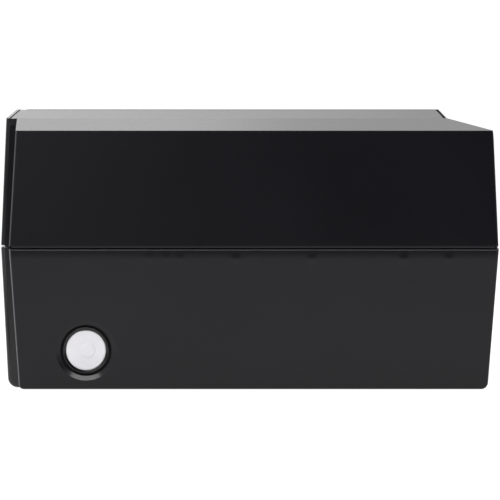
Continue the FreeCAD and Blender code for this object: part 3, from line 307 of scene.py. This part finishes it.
# extruded aluminium: pale satin with die lines along its length
finAluminium = workedSurface("extruded aluminium", {
    "deep": "b4b6b8", "pale": "c9cbcd", "rough": 0.34, "roughSpread": 0.07, "lineMm": 0.35,
    "lineStretch": 80.0, "along": 1, "depthMm": 0.004, "patchMm": 8.0, "metallic": 1.0})
# sintered bronze: grainy, dull gold
bushBronze = workedSurface("sintered bronze", {
    "deep": "96793f", "pale": "b89d5e", "rough": 0.42, "roughSpread": 0.08, "lineMm": 0.3,
    "lineStretch": 1.0, "along": 0, "depthMm": 0.006, "patchMm": 1.2, "metallic": 1.0})
# rolled contact strip under thin gold: bright and warm
contactGold = workedSurface("gold-plated bronze", {
    "deep": "c9a24e", "pale": "dcb965", "rough": 0.2, "roughSpread": 0.05, "lineMm": 0.2,
    "lineStretch": 30.0, "along": 0, "depthMm": 0.001, "patchMm": 2.0, "metallic": 1.0})
# nitrile roller finished on a grinder: charcoal, matt, with faint rings
platenRubber = workedSurface("ground black rubber", {
    "deep": "1a1a1c", "pale": "222225", "rough": 0.72, "roughSpread": 0.08, "lineMm": 0.4,
    "lineStretch": 0.5, "along": 1, "depthMm": 0.012, "patchMm": 6.0, "metallic": 0.0})


# alumina with a fired glaze: glossy ivory, a brown heater line under the roller, dark resin on the drivers
def glazedAlumina(name, values):
    material, tree, place = startMaterial(name)
    speck = addNode(tree, "ShaderNodeTexNoise", {
        "Vector": place, "Scale": perMetre(values["speckMm"]), "Detail": 3.0, "Roughness": 0.6}).outputs["Fac"]
    across = addNode(tree, "ShaderNodeSeparateXYZ", {0: place}).outputs["X"]
    colour = addNode(tree, "ShaderNodeMix", {
        "Factor": speck, 6: toLinear(values["deep"]), 7: toLinear(values["pale"])}, data_type="RGBA").outputs[2]
    rough = addNode(tree, "ShaderNodeMapRange", {
        "Value": speck, "To Min": values["rough"][0], "To Max": values["rough"][1]})
    for middle, width, tone in values["bands"]:
        inside = addNode(tree, "ShaderNodeMath", {
            0: across, 1: middle * mm, 2: width / 2 * mm}, operation="COMPARE")
        colour = addNode(tree, "ShaderNodeMix", {
            "Factor": inside.outputs[0], 6: colour, 7: toLinear(tone)}, data_type="RGBA").outputs[2]
    bump = addNode(tree, "ShaderNodeBump", {
        "Height": speck, "Strength": 1.0, "Distance": values["depthMm"] * mm})
    endMaterial(tree, addNode(tree, "ShaderNodeBsdfPrincipled", {
        "Base Color": colour, "Roughness": rough.outputs["Result"], "IOR": values["ior"],
        "Normal": bump.outputs["Normal"]}))
    return material


# each band is its middle in x, its width and its colour
headCeramic = glazedAlumina("glazed alumina", {
    "deep": "d2cdc0", "pale": "dfdbd0", "rough": (0.14, 0.2), "speckMm": 0.6, "depthMm": 0.002, "ior": 1.6,
    "bands": ((-76.0, 1.4, "6b5a48"), (-79.2, 0.5, "a89a80"), (-69.8, 3.2, "151517"), (-66.9, 1.0, "b98f4a"))})


# glass laminate under green solder mask: deep green film with copper tracks showing paler through it
def solderMask(name, values):
    material, tree, place = startMaterial(name)
    tracks = addNode(tree, "ShaderNodeTexBrick", {
        "Vector": place, "Scale": perMetre(values["trackMm"]), "Color1": toLinear(values["mask"]),
        "Color2": toLinear(values["mask2"]), "Mortar": toLinear(values["track"]),
        "Mortar Size": values["trackWidth"], "Brick Width": values["islandLong"],
        "Row Height": values["islandWide"]})
    weave = addNode(tree, "ShaderNodeTexNoise", {
        "Vector": place, "Scale": perMetre(values["weaveMm"]), "Detail": 2.0})
    rough = addNode(tree, "ShaderNodeMapRange", {
        "Value": weave.outputs["Fac"], "To Min": values["rough"][0], "To Max": values["rough"][1]})
    bump = addNode(tree, "ShaderNodeBump", {
        "Height": tracks.outputs["Fac"], "Strength": 1.0, "Distance": values["depthMm"] * mm})
    endMaterial(tree, addNode(tree, "ShaderNodeBsdfPrincipled", {
        "Base Color": tracks.outputs["Color"], "Roughness": rough.outputs["Result"], "IOR": values["ior"],
        "Normal": bump.outputs["Normal"]}))
    return material


boardMask = solderMask("solder-masked laminate", {
    "mask": "164a31", "mask2": "1a5237", "track": "2c6b49", "trackMm": 5.0, "trackWidth": 0.07,
    "islandLong": 1.6, "islandWide": 0.5, "weaveMm": 0.9, "rough": (0.22, 0.42), "depthMm": 0.03, "ior": 1.52})
print("metals, ceramic and laminate ready")

finishes = {
    "case_plastic": caseAbs, "panel_plastic": panelAbs, "button_plastic": buttonAbs, "ring_plastic": ringAbs,
    "inner_plastic": innerAbs, "light_plastic": lightPlastic, "gear_plastic": gearAcetal,
    "socket_plastic": socketNylon, "sheet_steel": sheetSteel, "turned_steel": turnedSteel,
    "blade_steel": bladeSteel, "motor_steel": motorCoat, "socket_steel": socketNickel,
    "heatsink_aluminium": finAluminium, "head_ceramic": headCeramic, "bush_brass": bushBronze,
    "board_laminate": boardMask, "platen_rubber": platenRubber, "foot_rubber": footRubber}
ownFinishes = {
    "base_case": coreAbs, "cover_shell": coverAbs, "base_cheek_right": buttonSideAbs,
    "base_cheek_left": highlitCheekAbs, "cover_cheek_right": highlitCoverAbs, "cover_cheek_left": highlitCoverAbs,
    "bottom_screws": screwSteel}
for subpart in frame["record"]["subparts"]:
    piece = nodes[subpart["node"]]
    piece.data.materials.clear()
    piece.data.materials.append(ownFinishes.get(subpart["node"], finishes[subpart["material_slot"]]))

# widths in millimetres by which the mould softens edges sharper than the angle
softening = {"weld": 0.002, "segments": 3, "angle": 50}
softEdges = {
    "cover_shell": 0.12, "base_case": 0.15, "feed_button": 0.5, "release_knob": 0.6,
    "power_button": 0.35, "power_button_ring": 0.2, "roll_bin": 0.4}
for nodeName, width in softEdges.items():
    weld = nodes[nodeName].modifiers.new("weld", "WELD")
    weld.merge_threshold = softening["weld"] * mm
    bevel = nodes[nodeName].modifiers.new("soft edge", "BEVEL")
    bevel.width = width * mm
    bevel.segments = softening["segments"]
    bevel.limit_method = "ANGLE"
    bevel.angle_limit = math.radians(softening["angle"])
    bevel.harden_normals = True
print("edges softened on", len(softEdges), "nodes")


def newPiece(name, data, body, material):
    data.materials.append(material)
    piece = bpy.data.objects.new(name, data)
    bpy.context.scene.collection.objects.link(piece)
    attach(piece, body)
    return piece


def meshFrom(shape, name):
    bmesh.ops.recalc_face_normals(shape, faces=shape.faces)
    mesh = bpy.data.meshes.new(name)
    shape.to_mesh(mesh)
    shape.free()
    return mesh


# a closed skin over like rings of points, one after another, with its two ends filled
def addSkin(shape, rings):
    rows = [[shape.verts.new(Vector(point) * mm) for point in ring] for ring in rings]
    for a, b in zip(rows, rows[1:]):
        for k in range(len(a)):
            after = (k + 1) % len(a)
            shape.faces.new((a[k], a[after], b[after], b[k]))
    shape.faces.new(rows[0][::-1])
    shape.faces.new(rows[-1])


# two coil springs that press the print head up, with their end turns closed
spring = {
    "places": ((-76.0, -25.0), (-76.0, 25.0)), "low": 44.4, "high": 50.4, "radius": 2.6, "wire": 0.35,
    "turns": 6, "flatTurns": 0.9, "stepsPerTurn": 28}
coils = bpy.data.curves.new("head_spring_coils", "CURVE")
coils.dimensions = "3D"
coils.bevel_depth = spring["wire"] * mm
coils.bevel_resolution = 3
coils.use_fill_caps = True
turns, flatTurns, wire = (spring[key] for key in ("turns", "flatTurns", "wire"))
travel = spring["high"] - spring["low"] - 6 * wire  # what the wire's own ends and both closed turns leave
for x, y in spring["places"]:
    spline = coils.splines.new("POLY")
    count = turns * spring["stepsPerTurn"]
    spline.points.add(count)
    for i, point in enumerate(spline.points):
        turn = i / count * turns
        free = min(max((turn - flatTurns) / (turns - 2 * flatTurns), 0), 1)
        closed = (min(turn, flatTurns) + max(turn - turns + flatTurns, 0)) / flatTurns * 2 * wire
        angle = 2 * math.pi * turn
        point.co = (
            (x + spring["radius"] * math.cos(angle)) * mm, (y + spring["radius"] * math.sin(angle)) * mm,
            (spring["low"] + wire + closed + free * travel) * mm, 1)
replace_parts(newPiece("head_spring_coils", coils, "base", turnedSteel), "head_springs")
print("springs wound")


# a strip of metal bent along points in the XZ plane, with its width along Y
def addStrip(shape, points, y, width, thick):
    rings = []
    for i, (x, z) in enumerate(points):
        run = Vector(points[min(i + 1, len(points) - 1)]) - Vector(points[max(i - 1, 0)])
        side = Vector((-run.y, run.x)).normalized() * thick / 2
        rings.append([(x + s * side.x, y + w * width / 2, z + s * side.y)
                      for s, w in ((1, 1), (1, -1), (-1, -1), (-1, 1))])
    addSkin(shape, rings)


# a round pin along X with a domed tip
def addPin(shape, y, z, radius, back, front, sides):
    dome = [(front - radius + radius * math.sin(a), radius * math.cos(a)) for a in (0, 0.5, 1.0, 1.35)]
    angles = [2 * math.pi * k / sides for k in range(sides)]
    addSkin(shape, [[(x, y + r * math.cos(t), z + r * math.sin(t)) for t in angles]
                    for x, r in [(back, radius)] + dome])


# contacts in the four sockets at the back; each mouth is open to +X and its back wall is at wallX
# a bent strip's points are their distance out from the wall and down from the mouth's top
contacts = {
    "wallX": 80.1, "strip": 0.5, "thick": 0.25, "pitch": 1.02,
    "bends": ((0, 0.5), (6.8, 0.5), (7.4, 0.9), (6.6, 1.5), (1.4, 3.4)),
    "lan": {"y": -12.0, "ways": 8, "top": 17.0}, "drawer": {"y": -36.0, "ways": 6, "top": 15.6},
    "pins": {"y": 36.0, "z": 13.3, "ring": 2.6, "radius": 0.7, "front": 88.2, "sides": 14,
             "angles": (90, 210, 330)},
    "tongue": {"y": 12.0, "z": 12.7, "half": (2.8, 1.5), "front": 88.6, "round": 0.35},
    "leads": {"lift": 0.08, "bend": 1.2, "tip": 0.7, "dip": 0.1, "side": 1.2, "width": 0.9, "thick": 0.16}}
wall = contacts["wallX"]
shape = bmesh.new()
for socket in (contacts["lan"], contacts["drawer"]):
    path = [(wall + out, socket["top"] - down) for out, down in contacts["bends"]]
    for k in range(socket["ways"]):
        y = socket["y"] + (k - (socket["ways"] - 1) / 2) * contacts["pitch"]
        addStrip(shape, path, y, contacts["strip"], contacts["thick"])
pins = contacts["pins"]
for angle in (math.radians(degrees) for degrees in pins["angles"]):
    addPin(shape, pins["y"] + pins["ring"] * math.cos(angle), pins["z"] + pins["ring"] * math.sin(angle),
           pins["radius"], wall, pins["front"], pins["sides"])
tongue, leads = contacts["tongue"], contacts["leads"]
for level in (1, -1):
    z = tongue["z"] + level * (tongue["half"][1] + leads["lift"])
    path = ((wall, z), (tongue["front"] - leads["bend"], z),
            (tongue["front"] - leads["tip"], z - level * leads["dip"]))
    for side in (1, -1):
        addStrip(shape, path, tongue["y"] + side * leads["side"], leads["width"], leads["thick"])
newPiece("socket_contacts", meshFrom(shape, "socket_contacts"), "base", contactGold)

shape = bmesh.new()
for vert in bmesh.ops.create_cube(shape, size=1.0)["verts"]:
    vert.co = Vector((
        wall + (vert.co.x + 0.5) * (tongue["front"] - wall),
        tongue["y"] + 2 * vert.co.y * tongue["half"][0], tongue["z"] + 2 * vert.co.z * tongue["half"][1])) * mm
bmesh.ops.bevel(
    shape, geom=shape.edges[:], offset=tongue["round"] * mm, segments=2, affect="EDGES", profile=0.5)
newPiece("usb_tongue", meshFrom(shape, "usb_tongue"), "base", socketNylon)
print("socket contacts made")

# hem under the cover's edges: it carries their faces down into the parting gap and stops short of the corners
hem = {
    "low": 57.2, "top": 59.0, "round": 0.5, "roundSteps": 6, "deep": 2.0, "topDeep": 0.5, "overlap": 0.1,
    "step": 0.02, "innerOverlap": 0.2, "frontInset": 0.9, "backInset": 1.4}
noseHem = {
    "front": 1.5, "back": 9.0, "high": 57.95, "wall": 1.5, "inset": 0.1, "deep": 2.0, "mouthSide": 45.0}
cheekLow, cheekHigh = (Vector(corner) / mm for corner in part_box("cover_cheek_right"))
shellLow = Vector(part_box("cover_shell")[0]) / mm
cheekLean = upper["sideLean"] / upper["height"]  # the cheek's face leans in as it rises, and the hem with it
hemProfile = [(0, hem["top"]), (0, cheekLow.z + hem["overlap"])]
for k in range(hem["roundSteps"] + 1):
    turn = math.pi / 2 * k / hem["roundSteps"]
    hemProfile.append((
        hem["step"] + hem["round"] * (1 - math.cos(turn)), hem["low"] + hem["round"] * (1 - math.sin(turn))))
hemProfile += [
    (hem["deep"], hem["low"]), (hem["deep"], cheekLow.z + hem["innerOverlap"]), (hem["topDeep"], hem["top"])]
shape = bmesh.new()
for side in (-1, 1):
    addSkin(shape, [
        [(x, side * (-cheekLow.y - cheekLean * max(z - cheekLow.z, 0) - inward), z) for inward, z in hemProfile]
        for x in (cheekLow.x + hem["frontInset"], cheekHigh.x - hem["backInset"])])
    front, out = shellLow.x + noseHem["front"], -shellLow.y - noseHem["inset"]
    back, inner = front + noseHem["back"], out - noseHem["deep"]
    plan = ((front, out), (back, out), (back, inner), (front + noseHem["wall"], inner),
            (front + noseHem["wall"], noseHem["mouthSide"]), (front, noseHem["mouthSide"]))
    addSkin(shape, [[(x, side * y, z) for x, y in plan] for z in (hem["low"], noseHem["high"])])
newPiece("cover_hem", meshFrom(shape, "cover_hem"), "cover", caseAbs)
print("cover hem made")

studio = {
    "floorHalf": 30.0, "floorNear": 0.9, "floorColour": "f4f4f4", "shadowShare": 0.12, "floorGlow": 1.12,
    "fill": 0.3, "cameraPlace": (0.00023, -2.75865, 0.19068), "pitchDown": 2.8594, "lens": 484.8,
    "sensor": 36.0, "clip": (0.05, 100.0)}


# 1 for what the eye sees straight, in gloss or through something clear, and 0 for light on other things
def seenShare(tree):
    path = addNode(tree, "ShaderNodeLightPath").outputs
    seen = path["Is Camera Ray"]
    for ray in ("Is Glossy Ray", "Is Transmission Ray"):
        seen = addNode(tree, "ShaderNodeMath", {0: seen, 1: path[ray]}, operation="MAXIMUM").outputs[0]
    return seen


# white paper sweep: glows white to the eye and in gloss, and keeps a share of its shading for the shadow
def whiteFloor(values):
    material, tree, _ = startMaterial("white studio paper")
    share = addNode(tree, "ShaderNodeMath", {
        0: seenShare(tree), 1: 1 - values["shadowShare"]}, operation="MULTIPLY")
    paint = addNode(tree, "ShaderNodeBsdfDiffuse", {"Color": toLinear(values["floorColour"])})
    glow = addNode(tree, "ShaderNodeEmission", {"Color": (1, 1, 1, 1), "Strength": values["floorGlow"]})
    endMaterial(tree, addNode(tree, "ShaderNodeMixShader", {
        "Fac": share.outputs[0], 1: paint.outputs[0], 2: glow.outputs[0]}))
    return material


def addSheet(name, corners, material):
    mesh = bpy.data.meshes.new(name)
    mesh.from_pydata(corners, [], [(0, 1, 2, 3)])
    mesh.materials.append(material)
    sheet = bpy.data.objects.new(name, mesh)
    bpy.context.scene.collection.objects.link(sheet)
    return sheet


half, near = studio["floorHalf"], studio["floorNear"]
addSheet("floor", [(-half, -near, 0), (half, -near, 0), (half, half, 0), (-half, half, 0)], whiteFloor(studio))

# grey cards that only gloss sees, paler on the left, as a photographer sets them round a glossy thing
cards = {
    "frontCard": {"y": -0.9, "half": 1.3, "high": 0.8, "left": -0.22, "right": 0.12, "pale": 1.3, "dark": 0.02,
                  "power": 2.0, "fadeLow": 0.03, "fadeHigh": 0.2},
    "backCard": {"y": 1.3, "half": 1.6, "high": 0.55, "left": -0.16, "right": 0.16, "pale": 1.1, "dark": 0.5,
                 "power": 1.0, "fadeLow": -0.2, "fadeHigh": -0.1}}
for cardName, values in cards.items():
    material, tree, place = startMaterial("graded grey card " + cardName)
    axes = addNode(tree, "ShaderNodeSeparateXYZ", {0: place}).outputs
    share = addNode(tree, "ShaderNodeMapRange", {
        "Value": axes["X"], "From Min": values["right"], "From Max": values["left"]})
    curve = addNode(tree, "ShaderNodeMath", {
        0: share.outputs["Result"], 1: values["power"]}, operation="POWER")
    rise = addNode(tree, "ShaderNodeMapRange", {
        "Value": axes["Z"], "From Min": values["fadeLow"], "From Max": values["fadeHigh"]})
    both = addNode(tree, "ShaderNodeMath", {
        0: curve.outputs[0], 1: rise.outputs["Result"]}, operation="MULTIPLY")
    tone = addNode(tree, "ShaderNodeMapRange", {
        "Value": both.outputs[0], "To Min": values["dark"], "To Max": values["pale"]})
    endMaterial(tree, addNode(tree, "ShaderNodeEmission", {
        "Color": (1, 1, 1, 1), "Strength": tone.outputs["Result"]}))
    side, y, high = values["half"], values["y"], values["high"]
    card = addSheet(cardName, [(-side, y, 0), (side, y, 0), (side, y, high), (-side, y, high)], material)
    card.visible_camera = card.visible_diffuse = card.visible_shadow = card.visible_transmission = False

world = bpy.data.worlds.new("studio")
bpy.context.scene.world = world
world.use_nodes = True
sky = world.node_tree
sky.nodes.clear()
fill = addNode(sky, "ShaderNodeBackground", {"Color": (1, 1, 1, 1), "Strength": studio["fill"]})
white = addNode(sky, "ShaderNodeBackground", {"Color": (1, 1, 1, 1), "Strength": 1.0})
mixed = addNode(sky, "ShaderNodeMixShader", {"Fac": seenShare(sky), 1: fill.outputs[0], 2: white.outputs[0]})
addNode(sky, "ShaderNodeOutputWorld", {"Surface": mixed.outputs[0]})

# the left lamp lights the nose but stays out of gloss, where it would wash out the shoulders seen from behind
lamps = {
    "overhead": {"place": (-0.3, 0.4, 1.2), "aim": (-0.3, 0.4, 0), "size": (1.9, 1.4), "watts": 24.5},
    "overheadLeft": {"place": (-0.5, 0.6, 1.1), "aim": (-0.5, 0.6, 0), "size": (1.0, 0.8), "watts": 5.0},
    "key": {"place": (-0.05, -0.95, 1.3), "aim": (0, 0, 0.05), "size": (1.7, 0.3), "watts": 14.0},
    "left": {"place": (-1.5, 0.0, 0.35), "aim": (0, 0, 0.06), "size": (0.8, 0.7), "watts": 4.0,
             "inGloss": False}}
for lampName, values in lamps.items():
    data = bpy.data.lights.new(lampName, "AREA")
    data.shape = "RECTANGLE"
    data.size, data.size_y = values["size"]
    data.energy = values["watts"]
    lamp = bpy.data.objects.new(lampName, data)
    lamp.location = values["place"]
    aim = Vector(values["aim"]) - Vector(values["place"])
    lamp.rotation_euler = aim.to_track_quat("-Z", "Y").to_euler()
    lamp.visible_camera = False
    lamp.visible_glossy = values.get("inGloss", True)
    bpy.context.scene.collection.objects.link(lamp)

cameraData = bpy.data.cameras.new("camera")
cameraData.lens = studio["lens"]
cameraData.sensor_width = studio["sensor"]
cameraData.clip_start, cameraData.clip_end = studio["clip"]
camera = bpy.data.objects.new("camera", cameraData)
camera.location = studio["cameraPlace"]
camera.rotation_euler = (math.radians(90 - studio["pitchDown"]), 0, 0)
bpy.context.scene.collection.objects.link(camera)
bpy.context.scene.camera = camera
bpy.context.scene.view_settings.view_transform = "Standard"
print("studio ready")
